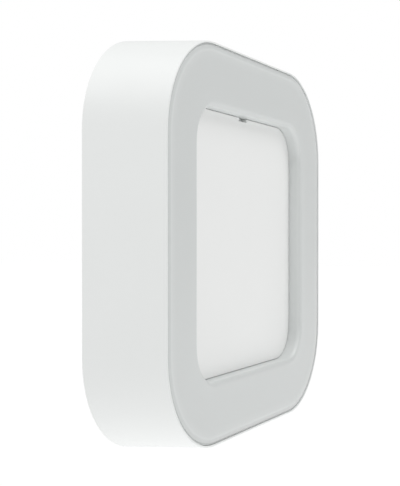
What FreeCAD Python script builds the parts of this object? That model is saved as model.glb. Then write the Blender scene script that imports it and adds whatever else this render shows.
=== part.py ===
import FreeCAD, Part
import math
import os
import re
import Sketcher

# Square wall light with a ring of diffused light, a sunken centre cover and a radio control board.
# Millimetres. X runs along the wall, Z is up, and -Y points from the wall into the room.
# Every "level" is a distance from the wall, so a level of 10 lies in the plane y = -10.

SIZES = [
    ("front_half", 100.0, "half the width of the housing at its front rim"),
    ("front_radius", 49.7, "corner radius at the front rim"),
    ("back_half", 103.1, "half the width of the housing at the wall"),
    ("back_radius", 49.6, "corner radius at the wall"),
    ("body_depth", 43.5, "wall to front rim"),
    ("floor_low", 1.5, "back recess that takes the wall gasket"),
    ("floor_top", 4.0, "inside of the housing floor"),
    ("cavity_back_half", 100.1, "inside half width at the floor"),
    ("cavity_back_radius", 46.9, "inside corner radius at the floor"),
    ("cavity_front_half", 97.3, "inside half width at the rim"),
    ("cavity_front_radius", 47.0, "inside corner radius at the rim"),
    ("rim_width", 0.9, "land of the front rim round the diffuser"),
    ("groove_width", 1.0, "shadow gap between rim and diffuser"),
    ("ledge_level", 40.3, "ledge that the outer gasket lies on"),
    ("plate_low", 41.0, "back of the diffuser's front plate"),
    ("step_level", 42.7, "bottom of the shadow gap, a step in the diffuser's edge"),
    ("crown_level", 43.1, "where the diffuser's edge starts to slope in"),
    ("crown_width", 2.4, "width of that slope"),
    ("edge_round", 0.3, "rounded outer edge of the diffuser"),
    ("opening_half", 68.4, "half the width of the centre recess"),
    ("opening_radius", 20.0, "corner radius of the centre recess"),
    ("lip_round", 2.8, "rounded lip of the centre recess"),
    ("lens_wall", 2.1, "wall thickness of the diffuser's inner collar"),
    ("recess_depth", 7.75, "front rim to the face of the centre cover"),
    ("flange_low", 31.0, "back of the diffuser's screw flange"),
    ("flange_top", 33.0, "front of the diffuser's screw flange"),
    ("flange_half", 57.5, "half the width of the hole in the screw flange"),
    ("flange_radius", 12.0, "corner radius of that hole"),
    ("flange_screw", 61.5, "screw line of the flange"),
    ("screw_spread", 30.0, "half the distance between the two screws of one side"),
    ("well_half", 66.5, "outside of the wall round the wiring space"),
    ("well_radius", 18.0, "its corner radius"),
    ("well_wall", 2.2, "its thickness"),
    ("well_top", 30.0, "its height above the wall"),
    ("cover_gap", 0.22, "gap round the centre cover"),
    ("cover_low", 33.3, "back of the centre cover"),
    ("skirt_half", 56.8, "outside of the cover's locating skirt"),
    ("skirt_low", 28.0, "end of that skirt"),
    ("notch_width", 10.0, "lever slot in the cover's top edge"),
    ("notch_height", 1.9, "lever slot, from the edge of the cover"),
    ("slot_spread", 45.0, "wall screw slots, from the centre"),
    ("slot_width", 5.2, "wall screw slots, width"),
    ("slot_length", 12.0, "wall screw slots, end to end"),
    ("gland_x", 18.0, "cable entry, from the centre"),
    ("gland_radius", 10.0, "cable entry hole in the floor"),
    ("cable_radius", 4.25, "hole in the rubber grommet"),
    ("lamp_level", 9.0, "back of the plate under the lamp board"),
    ("lamp_line", 84.0, "half width of the line of light emitters"),
    ("lamp_radius", 35.0, "corner radius of that line"),
    ("lamp_screw", 76.0, "screw line of the lamp board"),
    ("tray_low", 12.6, "back of the reflector tray"),
    ("tray_half", 95.6, "outside of the reflector tray"),
    ("tray_radius", 45.6, "its corner radius"),
    ("tray_inner", 67.6, "inside of the reflector tray"),
    ("tray_inner_radius", 18.9, "its corner radius"),
    ("tray_skin", 1.0, "wall thickness of the reflector tray"),
    ("driver_z", -38.0, "height of the driver case's centre"),
    ("driver_width", 84.0, "driver case width"),
    ("driver_height", 34.0, "driver case height"),
    ("driver_rim", 20.0, "open edge of the driver case"),
    ("driver_skin", 1.5, "wall thickness of the driver case"),
    ("board_top", 10.1, "component side of the driver board"),
    ("driver_foot", 46.5, "screw line of the driver case's feet"),
    ("block_x", -14.0, "centre of the terminal block"),
    ("block_width", 36.0, "terminal block width"),
    ("block_height", 18.0, "terminal block height"),
    ("block_top", 20.0, "front of the terminal block"),
    ("block_pitch", 12.0, "distance between two poles"),
    ("button_size", 4.4, "release button, square"),
    ("button_gap", 0.3, "gap round a release button"),
    ("radio_z", 38.0, "height of the radio board's centre"),
    ("radio_low", 12.0, "back of the radio board"),
    ("radio_top", 13.6, "component side of the radio board"),
    ("radio_hole_x", 31.0, "screw holes of the radio board, from its centre line"),
    ("radio_hole_z", 14.0, "screw holes of the radio board, from its centre"),
]

doc = FreeCAD.newDocument("ring_wall_light")
sheet = doc.addObject("Spreadsheet::Sheet", "Dims")
for row, (alias, size, note) in enumerate(SIZES, start=1):
    sheet.set("A%d" % row, note)
    sheet.set("B%d" % row, str(size))
    sheet.setAlias("B%d" % row, alias)
doc.recompute()

NODES = []


def bind(text):
    """A size written with cell names, as an expression on the sheet."""
    return re.sub(r"[a-z]+(_[a-z]+)*", lambda word: "Dims." + word.group(0), str(text))


def value(text):
    """The same size as a number."""
    return float(sheet.evalExpression(bind(text)))


def new_body(label):
    body = doc.addObject("PartDesign::Body", label)
    NODES.append(body)
    return body


def sketch(body, name, level, plane="XZ_Plane"):
    """A sketch parallel to the wall, unless told otherwise: its X is the row's X, its Y the row's Z."""
    support = [f for f in body.Origin.OriginFeatures if f.Role == plane][0]
    sk = body.newObject("Sketcher::SketchObject", name)
    sk.AttachmentSupport = [(support, "")]
    sk.MapMode = "FlatFace"
    sk.setExpression("AttachmentOffset.Base.z", bind(level))
    return sk


def fix(sk, kind, where, text):
    """One driving constraint, bound to the sheet."""
    index = sk.addConstraint(Sketcher.Constraint(kind, *where, value(text)))
    sk.setExpression("Constraints[%d]" % index, bind(text))


def rectangle(sk, x, z, half_wide, half_high, radius="0"):
    """A rectangle round (x, z), with rounded corners if a radius is given."""
    cx, cz, a, b, r = value(x), value(z), value(half_wide), value(half_high), value(radius)
    corners = [(cx + a, cz + b), (cx - a, cz + b), (cx - a, cz - b), (cx + a, cz - b)]
    along = [(-1, 0), (0, -1), (1, 0), (0, 1)]
    sides = []
    arcs = []
    for i in range(4):
        (x0, z0), (x1, z1), (dx, dz) = corners[i], corners[(i + 1) % 4], along[i]
        start = FreeCAD.Vector(x0 + dx * r, z0 + dz * r, 0)
        end = FreeCAD.Vector(x1 - dx * r, z1 - dz * r, 0)
        sides.append(sk.addGeometry(Part.LineSegment(start, end), False))
        if r > 0:
            turn = along[(i + 1) % 4]
            middle = FreeCAD.Vector(end.x + turn[0] * r, end.y + turn[1] * r, 0)
            circle = Part.Circle(middle, FreeCAD.Vector(0, 0, 1), r)
            low = math.pi / 2 * (i + 1)
            arcs.append(sk.addGeometry(Part.ArcOfCircle(circle, low, low + math.pi / 2), False))
    for i in range(4):
        if r > 0:
            sk.addConstraint(Sketcher.Constraint("Tangent", sides[i], 2, arcs[i], 1))
            sk.addConstraint(Sketcher.Constraint("Tangent", arcs[i], 2, sides[(i + 1) % 4], 1))
            if i > 0:
                sk.addConstraint(Sketcher.Constraint("Equal", arcs[0], arcs[i]))
        else:
            sk.addConstraint(Sketcher.Constraint("Coincident", sides[i], 2, sides[(i + 1) % 4], 1))
        level_side = "Horizontal" if i % 2 == 0 else "Vertical"
        sk.addConstraint(Sketcher.Constraint(level_side, sides[i]))
    if r > 0:
        fix(sk, "Radius", (arcs[0],), radius)
    fix(sk, "DistanceY", (-1, 1, sides[0], 1), "(%s) + (%s)" % (z, half_high))
    fix(sk, "DistanceX", (-1, 1, sides[1], 1), "(%s) - (%s)" % (x, half_wide))
    fix(sk, "DistanceY", (-1, 1, sides[2], 1), "(%s) - (%s)" % (z, half_high))
    fix(sk, "DistanceX", (-1, 1, sides[3], 1), "(%s) + (%s)" % (x, half_wide))


def square(sk, half, radius):
    rectangle(sk, "0", "0", half, half, radius)


def circle(sk, x, z, radius):
    middle = FreeCAD.Vector(value(x), value(z), 0)
    ring = sk.addGeometry(Part.Circle(middle, FreeCAD.Vector(0, 0, 1), value(radius)), False)
    fix(sk, "Radius", (ring,), radius)
    fix(sk, "DistanceX", (-1, 1, ring, 3), x)
    fix(sk, "DistanceY", (-1, 1, ring, 3), z)


def pad(body, sk, length):
    """Adds material from the sketch towards the room."""
    feature = body.newObject("PartDesign::Pad", sk.Name + "_pad")
    feature.Profile = sk
    feature.setExpression("Length", bind(length))
    return feature


def pocket(body, sk, length, towards_room=False):
    """Cuts from the sketch towards the wall, or towards the room."""
    feature = body.newObject("PartDesign::Pocket", sk.Name + "_pocket")
    feature.Profile = sk
    feature.Reversed = towards_room
    feature.setExpression("Length", bind(length))
    return feature


def loft(body, kind, first, second):
    feature = body.newObject("PartDesign::" + kind, first.Name + "_loft")
    feature.Profile = first
    feature.Sections = [second]
    feature.Ruled = True
    return feature


def fillet(body, radius, chosen):
    """Rounds the edges of the body's tip that the test picks."""
    doc.recompute()
    base = body.Tip
    names = ["Edge%d" % (i + 1) for i, edge in enumerate(base.Shape.Edges) if chosen(edge.BoundBox)]
    feature = body.newObject("PartDesign::Fillet", body.Name + "_round")
    feature.Base = (base, names)
    feature.setExpression("Radius", bind(radius))
    return feature


def block(label, x, z, wide, high, low, top, keep=True):
    """A plain box: centre, size along the wall, and its two levels."""
    box = doc.addObject("Part::Box", label)
    box.setExpression("Length", bind(wide))
    box.setExpression("Height", bind(high))
    box.setExpression("Width", bind("(%s) - (%s)" % (top, low)))
    box.setExpression("Placement.Base.x", bind("(%s) - (%s) / 2" % (x, wide)))
    box.setExpression("Placement.Base.y", bind("0 - (%s)" % top))
    box.setExpression("Placement.Base.z", bind("(%s) - (%s) / 2" % (z, high)))
    if keep:
        NODES.append(box)
    return box


def rod(label, x, z, radius, low, top, keep=True, tip=None):
    """A cylinder that stands off the wall, or a cone when it has a second radius at its top."""
    kind = "Part::Cylinder" if tip is None else "Part::Cone"
    pin = doc.addObject(kind, label)
    if tip is None:
        pin.setExpression("Radius", bind(radius))
    else:
        pin.setExpression("Radius1", bind(radius))
        pin.setExpression("Radius2", bind(tip))
    pin.setExpression("Height", bind("(%s) - (%s)" % (top, low)))
    pin.Placement.Rotation = FreeCAD.Rotation(FreeCAD.Vector(1, 0, 0), 90)
    pin.setExpression("Placement.Base.x", bind(x))
    pin.setExpression("Placement.Base.y", bind("0 - (%s)" % low))
    pin.setExpression("Placement.Base.z", bind(z))
    if keep:
        NODES.append(pin)
    return pin


def fused(label, pieces):
    whole = doc.addObject("Part::MultiFuse", label)
    whole.Shapes = pieces
    NODES.append(whole)
    return whole


def cut(label, base, tools):
    """The base with every tool taken out of it."""
    tool = tools[0]
    if len(tools) > 1:
        tool = doc.addObject("Part::MultiFuse", label + "_tools")
        tool.Shapes = tools
    whole = doc.addObject("Part::Cut", label)
    whole.Base = base
    whole.Tool = tool
    NODES.append(whole)
    return whole


def screws(label, places, head_radius, head_low, head_top, shank_radius, shank_low):
    """A set of equal screws, each with a crossed driver recess in its head."""
    solids = []
    for i, (x, z) in enumerate(places):
        tag = "%s_%d" % (label, i)
        head = rod(tag + "_head", x, z, head_radius, head_low, head_top, keep=False)
        shank = rod(tag + "_shank", x, z, shank_radius, shank_low, head_low, keep=False)
        body = doc.addObject("Part::MultiFuse", tag + "_body")
        body.Shapes = [head, shank]
        floor = "%s - 0.7" % head_top
        arms = [
            block(tag + "_arm_x", x, z, "3.0", "0.7", floor, "%s + 1" % head_top, keep=False),
            block(tag + "_arm_z", x, z, "0.7", "3.0", floor, "%s + 1" % head_top, keep=False),
        ]
        cross = doc.addObject("Part::MultiFuse", tag + "_cross")
        cross.Shapes = arms
        screw = doc.addObject("Part::Cut", tag)
        screw.Base = body
        screw.Tool = cross
        solids.append(screw)
    return fused(label, solids)


def leads(label, radius, paths):
    """Insulated wires swept along smooth paths; the points are (x, level, z)."""
    solids = []
    for i, points in enumerate(paths):
        curve = Part.BSplineCurve()
        curve.interpolate([FreeCAD.Vector(x, -level, z) for x, level, z in points])
        path = doc.addObject("Part::Feature", "%s_path_%d" % (label, i))
        path.Shape = curve.toShape()
        start = curve.value(curve.FirstParameter)
        heading = curve.tangent(curve.FirstParameter)[0]
        section = doc.addObject("Part::Circle", "%s_section_%d" % (label, i))
        section.setExpression("Radius", bind(radius))
        turn = FreeCAD.Rotation(FreeCAD.Vector(0, 0, 1), heading)
        section.Placement = FreeCAD.Placement(start, turn)
        sweep = doc.addObject("Part::Sweep", "%s_%d" % (label, i))
        sweep.Sections = [section]
        sweep.Spine = (path, ["Edge1"])
        sweep.Solid = True
        solids.append(sweep)
    return fused(label, solids)


def both_ways(line, spread):
    """Two places on each side of a square, as (x, z) cell expressions."""
    places = []
    for side in ("", "0 - "):
        for other in ("", "0 - "):
            places.append((side + line, other + spread))
            places.append((other + spread, side + line))
    return places


FLANGE_SCREWS = both_ways("flange_screw", "screw_spread")
LAMP_SCREWS = both_ways("lamp_screw", "screw_spread")
RADIO_SCREWS = [(sx + "radio_hole_x", "radio_z" + sz + "radio_hole_z")
                for sx in ("", "0 - ") for sz in (" + ", " - ")]
DRIVER_SCREWS = [("driver_foot", "driver_z"), ("0 - driver_foot", "driver_z")]
POLES = [("line", "block_x - block_pitch"), ("neutral", "block_x"), ("loop", "block_x + block_pitch")]

# ---- housing: one moulded tub, wider at the wall than at the rim ----
housing = new_body("housing")
back_outline = sketch(housing, "housing_back", "0")
square(back_outline, "back_half", "back_radius")
front_outline = sketch(housing, "housing_front", "body_depth")
square(front_outline, "front_half", "front_radius")
loft(housing, "AdditiveLoft", back_outline, front_outline)
cavity_floor = sketch(housing, "cavity_floor", "floor_top")
square(cavity_floor, "cavity_back_half", "cavity_back_radius")
cavity_mouth = sketch(housing, "cavity_mouth", "body_depth")
square(cavity_mouth, "cavity_front_half", "cavity_front_radius")
loft(housing, "SubtractiveLoft", cavity_floor, cavity_mouth)
rabbet = sketch(housing, "rim_rabbet", "body_depth")
square(rabbet, "front_half - rim_width", "front_radius - rim_width")
pocket(housing, rabbet, "body_depth - ledge_level")
gasket_seat = sketch(housing, "gasket_seat", "0")
square(gasket_seat, "back_half - 3.6", "back_radius - 3.6")
pocket(housing, gasket_seat, "floor_low", towards_room=True)
wall_feet = sketch(housing, "wall_feet", "0")
circle(wall_feet, "0", "0", "4.5")
for side in ("slot_spread", "0 - slot_spread"):
    rectangle(wall_feet, side, "0", "slot_length / 2 + 4", "slot_width / 2 + 4", "3")
pad(housing, wall_feet, "floor_low + 0.5")
well = sketch(housing, "well", "floor_top")
square(well, "well_half", "well_radius")
square(well, "well_half - well_wall", "well_radius - well_wall")
pad(housing, well, "well_top - floor_top")
flange_bosses = sketch(housing, "flange_bosses", "floor_top")
for x, z in FLANGE_SCREWS:
    circle(flange_bosses, x, z, "3.4")
pad(housing, flange_bosses, "flange_low - floor_top")
lamp_bosses = sketch(housing, "lamp_bosses", "floor_top")
for x, z in LAMP_SCREWS:
    circle(lamp_bosses, x, z, "3.5")
pad(housing, lamp_bosses, "lamp_level - floor_top")
radio_posts = sketch(housing, "radio_posts", "floor_top")
for x, z in RADIO_SCREWS:
    circle(radio_posts, x, z, "3.0")
pad(housing, radio_posts, "radio_low - floor_top")
driver_pads = sketch(housing, "driver_pads", "floor_top")
for x, z in DRIVER_SCREWS:
    circle(driver_pads, x, z, "3.2")
pad(housing, driver_pads, "2")
for name, places, level, depth in (
        ("flange_pilots", FLANGE_SCREWS, "flange_low", "8"),
        ("lamp_pilots", LAMP_SCREWS, "lamp_level", "6"),
        ("radio_pilots", RADIO_SCREWS, "radio_low", "6"),
        ("driver_pilots", DRIVER_SCREWS, "floor_top + 2", "3.8")):
    pilots = sketch(housing, name, level)
    for x, z in places:
        circle(pilots, x, z, "1.5")
    pocket(housing, pilots, depth)
entry = sketch(housing, "cable_entry", "floor_top")
circle(entry, "gland_x", "0", "gland_radius")
for side in ("slot_spread", "0 - slot_spread"):
    rectangle(entry, side, "0", "slot_length / 2", "slot_width / 2", "slot_width / 2 - 0.001")
pocket(housing, entry, "floor_top")
lead_gate = sketch(housing, "lead_gate", "floor_top + 6")
rectangle(lead_gate, "well_half - well_wall / 2", "0 - 10", "2.5", "4")
pocket(housing, lead_gate, "6")
fillet(housing, "0.4", lambda box: (box.YMax < -value("body_depth") + 0.01
                                     and max(abs(box.XMax), abs(box.XMin), abs(box.ZMax), abs(box.ZMin))
                                     > value("front_half") - 0.2))

# ---- seals at the wall, and the rubber grommet in the cable entry ----
wall_gasket = new_body("wall_gasket")
gasket_ring = sketch(wall_gasket, "wall_gasket_ring", "0")
square(gasket_ring, "back_half - 3.9", "back_radius - 3.9")
square(gasket_ring, "back_half - 11", "back_radius - 11")
pad(wall_gasket, gasket_ring, "floor_low")

grommet_steps = [
    rod("grommet_outer", "gland_x", "0", "gland_radius + 2.5", "0.3", "floor_low", keep=False),
    rod("grommet_neck", "gland_x", "0", "gland_radius - 0.1", "0.3", "floor_top + 1.6", keep=False),
    rod("grommet_inner", "gland_x", "0", "gland_radius + 2.5", "floor_top", "floor_top + 1.6", keep=False),
    rod("grommet_cone", "gland_x", "0", "8.2", "floor_top + 1.6", "floor_top + 5", keep=False, tip="6.2"),
]
grommet_solid = doc.addObject("Part::MultiFuse", "grommet_solid")
grommet_solid.Shapes = grommet_steps
grommet_bore = rod("grommet_bore", "gland_x", "0", "cable_radius", "0", "floor_top + 6", keep=False)
cut("cable_grommet", grommet_solid, [grommet_bore])

# ---- lamp ring: aluminium plate, board, emitters and the white tray over them ----
for label, low, thick, inset in (("lamp_plate", "lamp_level", "1.2", "0"),
                                 ("lamp_board", "lamp_level + 1.2", "1.4", "2")):
    ring = new_body(label)
    outline = sketch(ring, label + "_outline", low)
    square(outline, "lamp_line + 10 - " + inset, "lamp_radius + 10 - " + inset)
    square(outline, "lamp_line - 14 + " + inset, "lamp_radius - 14 + " + inset)
    for x, z in LAMP_SCREWS:
        circle(outline, x, z, "1.7")
    pad(ring, outline, thick)


def lamp_places(count):
    """Evenly spaced places on the rounded square that the emitters follow."""
    half, radius = value("lamp_line"), value("lamp_radius")
    flat = half - radius
    quarter = 2 * flat + math.pi / 2 * radius
    places = []
    for i in range(count):
        side, run = divmod((i + 0.5) * 4 * quarter / count, quarter)
        if run < flat:
            x, z, angle = half, run, 0.0
        elif run < flat + math.pi / 2 * radius:
            angle = (run - flat) / radius
            x, z = flat + radius * math.cos(angle), flat + radius * math.sin(angle)
        else:
            x, z, angle = 2 * flat + math.pi / 2 * radius - run, half, math.pi / 2
        turn = side * math.pi / 2
        places.append((x * math.cos(turn) - z * math.sin(turn), x * math.sin(turn) + z * math.cos(turn)))
    return places


EMITTERS = lamp_places(48)
emitters = []
for i, (x, z) in enumerate(EMITTERS):
    name = "emitter_%d" % i
    emitters.append(block(name, "%.3f" % x, "%.3f" % z, "3", "3", "lamp_level + 2.6", "lamp_level + 3.3", False))
fused("lamp_emitters", emitters)

screws("lamp_screws", LAMP_SCREWS, "2.8", "lamp_level + 2.6", "lamp_level + 4.4", "1.45", "lamp_level - 5")

tray = new_body("reflector_tray")
tray_floor = sketch(tray, "tray_floor", "tray_low")
square(tray_floor, "tray_half", "tray_radius")
square(tray_floor, "tray_inner", "tray_inner_radius")
for x, z in LAMP_SCREWS:
    circle(tray_floor, x, z, "3.4")
for x, z in EMITTERS:
    circle(tray_floor, "%.3f" % x, "%.3f" % z, "2.6")
pad(tray, tray_floor, "tray_skin")
tray_outer = sketch(tray, "tray_outer_wall", "tray_low")
square(tray_outer, "tray_half", "tray_radius")
square(tray_outer, "tray_half - tray_skin", "tray_radius - tray_skin")
pad(tray, tray_outer, "36.5 - tray_low")
tray_collar = sketch(tray, "tray_inner_wall", "tray_low")
square(tray_collar, "tray_inner + tray_skin", "tray_inner_radius + tray_skin")
square(tray_collar, "tray_inner", "tray_inner_radius")
pad(tray, tray_collar, "30 - tray_low")

# ---- diffuser: front ring, inner collar and screw flange in one opal moulding ----
diffuser = new_body("diffuser")
seat = sketch(diffuser, "diffuser_seat", "plate_low")
square(seat, "front_half - rim_width - 0.2", "front_radius - rim_width - 0.2")
pad(diffuser, seat, "step_level - plate_low")
raised = sketch(diffuser, "diffuser_raised", "plate_low")
square(raised, "front_half - rim_width - groove_width", "front_radius - rim_width - groove_width")
pad(diffuser, raised, "crown_level - plate_low")
crown_foot = sketch(diffuser, "crown_foot", "crown_level")
square(crown_foot, "front_half - rim_width - groove_width", "front_radius - rim_width - groove_width")
crown_head = sketch(diffuser, "crown_head", "body_depth")
square(crown_head, "front_half - rim_width - groove_width - crown_width",
       "front_radius - rim_width - groove_width - crown_width")
loft(diffuser, "AdditiveLoft", crown_foot, crown_head)
opening = sketch(diffuser, "diffuser_opening", "body_depth")
square(opening, "opening_half", "opening_radius")
pocket(diffuser, opening, "body_depth - plate_low")
collar = sketch(diffuser, "diffuser_collar", "flange_low")
square(collar, "opening_half + lens_wall", "opening_radius + lens_wall")
square(collar, "opening_half", "opening_radius")
pad(diffuser, collar, "body_depth - 1 - flange_low")
flange = sketch(diffuser, "diffuser_flange", "flange_low")
square(flange, "opening_half + lens_wall", "opening_radius + lens_wall")
square(flange, "flange_half", "flange_radius")
pad(diffuser, flange, "flange_top - flange_low")
locating_rib = sketch(diffuser, "diffuser_rib", "37")
square(locating_rib, "cavity_front_half - 0.4", "cavity_front_radius - 0.4")
square(locating_rib, "cavity_front_half - 1.5", "cavity_front_radius - 1.5")
pad(diffuser, locating_rib, "plate_low + 0.5 - 37")
flange_holes = sketch(diffuser, "flange_holes", "flange_top")
for x, z in FLANGE_SCREWS:
    circle(flange_holes, x, z, "1.7")
pocket(diffuser, flange_holes, "flange_top - flange_low")
head_seats = sketch(diffuser, "head_seats", "flange_top")
for x, z in FLANGE_SCREWS:
    circle(head_seats, x, z, "3.1")
pocket(diffuser, head_seats, "1.2")


def lies_at(box, level, low, high):
    """True for an edge at that level whose reach from the centre is between the two sizes."""
    reach = max(abs(box.XMax), abs(box.XMin), abs(box.ZMax), abs(box.ZMin))
    flat = abs(box.YMax + value(level)) < 0.01 and abs(box.YMin + value(level)) < 0.01
    return flat and low < reach < high


fillet(diffuser, "edge_round", lambda box: lies_at(box, "crown_level", 60, 200))
fillet(diffuser, "lip_round", lambda box: lies_at(box, "body_depth", 40, 80))

outer_gasket = new_body("outer_gasket")
outer_ring = sketch(outer_gasket, "outer_gasket_ring", "ledge_level")
square(outer_ring, "front_half - rim_width - 0.2", "front_radius - rim_width - 0.2")
square(outer_ring, "cavity_front_half + 0.3", "cavity_front_radius + 0.3")
pad(outer_gasket, outer_ring, "plate_low - ledge_level")

inner_gasket = new_body("inner_gasket")
inner_ring = sketch(inner_gasket, "inner_gasket_ring", "well_top")
square(inner_ring, "well_half - 0.1", "well_radius - 0.1")
square(inner_ring, "well_half - 1.4", "well_radius - 1.4")
pad(inner_gasket, inner_ring, "flange_low - well_top")

screws("diffuser_screws", FLANGE_SCREWS, "2.9", "flange_top - 1.2", "flange_top - 0.1", "1.45", "flange_low - 7")

# ---- centre cover: levered off by its notch, held by four spring snaps ----
cover = new_body("centre_cover")
cover_face = sketch(cover, "cover_face", "cover_low")
square(cover_face, "opening_half - cover_gap", "opening_radius - cover_gap")
pad(cover, cover_face, "body_depth - recess_depth - cover_low")
skirt = sketch(cover, "cover_skirt", "skirt_low")
square(skirt, "skirt_half", "flange_radius - 0.7")
square(skirt, "skirt_half - 1.4", "flange_radius - 2.1")
pad(cover, skirt, "cover_low + 0.5 - skirt_low")
ribs = sketch(cover, "cover_ribs", "cover_low - 2.2")
for x in ("0 - 28", "28"):
    rectangle(ribs, x, "0", "0.6", "skirt_half - 1")
pad(cover, ribs, "2.7")
notch = sketch(cover, "lever_notch", "body_depth - recess_depth")
rectangle(notch, "0", "opening_half - cover_gap", "notch_width / 2", "notch_height")
pocket(cover, notch, "body_depth - recess_depth - cover_low")
windows = sketch(cover, "snap_windows", "skirt_low")
for side in ("", "0 - "):
    rectangle(windows, side + "(skirt_half - 1)", "0", "3", "7.5")
    rectangle(windows, "0", side + "(skirt_half - 1)", "7.5", "3")
pocket(cover, windows, "cover_low - skirt_low", towards_room=True)
fillet(cover, "0.3", lambda box: (box.YMax < -value("body_depth - recess_depth") + 0.01
                                  and max(abs(box.XMax), abs(box.XMin), abs(box.ZMax), abs(box.ZMin))
                                  > value("opening_half - cover_gap") - 20.5
                                  and max(box.XLength, box.ZLength) > 11))

snap_pieces = []
for i, (sx, sz) in enumerate(((1, 0), (-1, 0), (0, 1), (0, -1))):
    for part, reach, thick, low, top in (("blade", "skirt_half - 0.7", "1.2", "skirt_low - 1", "cover_low"),
                                         ("barb", "skirt_half + 0.7", "1.8", "skirt_low + 0.4", "skirt_low + 2.4")):
        x = "%d * (%s)" % (sx, reach)
        z = "%d * (%s)" % (sz, reach)
        wide, high = (thick, "13") if sx else ("13", thick)
        snap_pieces.append(block("snap_%s_%d" % (part, i), x, z, wide, high, low, top, keep=False))
fused("cover_snaps", snap_pieces)

# ---- driver: closed case with its board and the parts on it ----
driver_tray = new_body("driver_tray")
case_outline = sketch(driver_tray, "driver_outline", "floor_top")
rectangle(case_outline, "0", "driver_z", "driver_width / 2", "driver_height / 2", "3")
pad(driver_tray, case_outline, "driver_rim - floor_top")
case_room = sketch(driver_tray, "driver_room", "driver_rim")
rectangle(case_room, "0", "driver_z", "driver_width / 2 - driver_skin", "driver_height / 2 - driver_skin", "1.5")
pocket(driver_tray, case_room, "driver_rim - floor_top - driver_skin")
case_feet = sketch(driver_tray, "driver_feet", "floor_top + 2")
for x, z in DRIVER_SCREWS:
    rectangle(case_feet, x + " * 0.98", z, "5", "5")
pad(driver_tray, case_feet, "2")
feet_holes = sketch(driver_tray, "driver_feet_holes", "floor_top + 4")
for x, z in DRIVER_SCREWS:
    circle(feet_holes, x, z, "1.7")
pocket(driver_tray, feet_holes, "2")
case_posts = sketch(driver_tray, "driver_posts", "floor_top + driver_skin")
for x in ("0 - 36", "36"):
    for z in ("driver_z - 11", "driver_z + 11"):
        circle(case_posts, x, z, "2")
pad(driver_tray, case_posts, "board_top - 1.6 - floor_top - driver_skin")

driver_lid = new_body("driver_lid")
lid_outline = sketch(driver_lid, "lid_outline", "driver_rim")
rectangle(lid_outline, "0", "driver_z", "driver_width / 2", "driver_height / 2", "3")
pad(driver_lid, lid_outline, "driver_skin")
lid_vents = sketch(driver_lid, "lid_vents", "driver_rim + driver_skin")
for i in range(7):
    rectangle(lid_vents, "12 + %d" % (4 * i), "driver_z", "0.8", "9")
pocket(driver_lid, lid_vents, "driver_skin")

block("driver_board", "0", "driver_z", "driver_width - 5", "driver_height - 5", "board_top - 1.6", "board_top")
fused("driver_transformer", [
    block("core", "6", "driver_z", "13", "15", "board_top + 1", "board_top + 9", keep=False),
    block("bobbin", "6", "driver_z", "16", "11", "board_top", "board_top + 9.4", keep=False),
])
fused("driver_capacitors", [
    rod("capacitor_a", "0 - 12", "driver_z + 6", "4", "board_top", "board_top + 9", keep=False),
    rod("capacitor_b", "0 - 12", "driver_z - 6", "4", "board_top", "board_top + 9", keep=False),
    rod("capacitor_c", "24", "driver_z + 7", "3.2", "board_top", "board_top + 9", keep=False),
])
block("driver_film_capacitor", "0 - 24", "driver_z - 6", "11", "6", "board_top", "board_top + 9")
rod("driver_inductor", "24", "driver_z - 6", "4.5", "board_top", "board_top + 8")
rod("driver_fuse", "0 - 34", "driver_z + 5", "3.2", "board_top", "board_top + 7")
block("driver_varistor", "0 - 24", "driver_z + 6", "7", "3.4", "board_top", "board_top + 8")
block("driver_rectifier", "34", "driver_z", "5", "8", "board_top", "board_top + 2.6")
screws("driver_screws", DRIVER_SCREWS, "2.8", "floor_top + 4", "floor_top + 5.8", "1.4", "floor_top - 1.6")

# ---- terminal block: three poles, each with a sprung release button and a clamp ----
terminal = new_body("terminal_block")
block_outline = sketch(terminal, "terminal_outline", "floor_top")
rectangle(block_outline, "block_x", "0", "block_width / 2", "block_height / 2", "1")
pad(terminal, block_outline, "block_top - floor_top")
button_wells = sketch(terminal, "button_wells", "block_top")
clamp_wells = sketch(terminal, "clamp_wells", "block_top")
for name, x in POLES:
    size = "button_size / 2 + button_gap"
    rectangle(button_wells, x, "3", size, size)
    rectangle(clamp_wells, x, "0 - 4.5", "2.2", "1.8")
pocket(terminal, button_wells, "9")
pocket(terminal, clamp_wells, "9")
wire_entries = sketch(terminal, "wire_entries", "0", "XY_Plane")
wire_entries.setExpression("AttachmentOffset.Base.z", bind("block_height / 2"))
for name, x in POLES:
    circle(wire_entries, x, "0 - 8", "1.6")
pocket(terminal, wire_entries, "8")
for name, x in POLES:
    block("release_button_" + name, x, "3", "button_size", "button_size", "block_top - 7", "block_top + 2")
fused("terminal_clamps", [block("clamp_" + name, x, "0 - 4.5", "3.8", "3", "block_top - 8.9", "block_top - 1", False)
                          for name, x in POLES])

# ---- radio board: shielded radio, antenna, pairing button, status light, light-tone slide ----
radio = new_body("radio_board")
radio_outline = sketch(radio, "radio_outline", "radio_low")
rectangle(radio_outline, "0", "radio_z", "35", "18.5", "2")
for x, z in RADIO_SCREWS:
    circle(radio_outline, x, z, "1.6")
pad(radio, radio_outline, "radio_top - radio_low")
screws("radio_screws", RADIO_SCREWS, "2.6", "radio_top", "radio_top + 1.6", "1.4", "radio_low - 5")
block("radio_shield", "0 - 13", "radio_z + 2", "22", "18", "radio_top", "radio_top + 2.8")
block("radio_antenna", "0 - 13", "radio_z + 16", "20", "0.8", "radio_top", "radio_top + 5")
block("radio_connector", "0 - 3", "radio_z - 14", "10", "5", "radio_top", "radio_top + 5")
rod("status_light", "24", "radio_z + 8", "1.5", "radio_top", "radio_top + 3")
cut("pairing_switch",
    block("switch_case", "10", "radio_z + 8", "6", "6", "radio_top", "radio_top + 3.5", keep=False),
    [rod("switch_well", "10", "radio_z + 8", "2.1", "radio_top + 2", "radio_top + 4", keep=False)])
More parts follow.
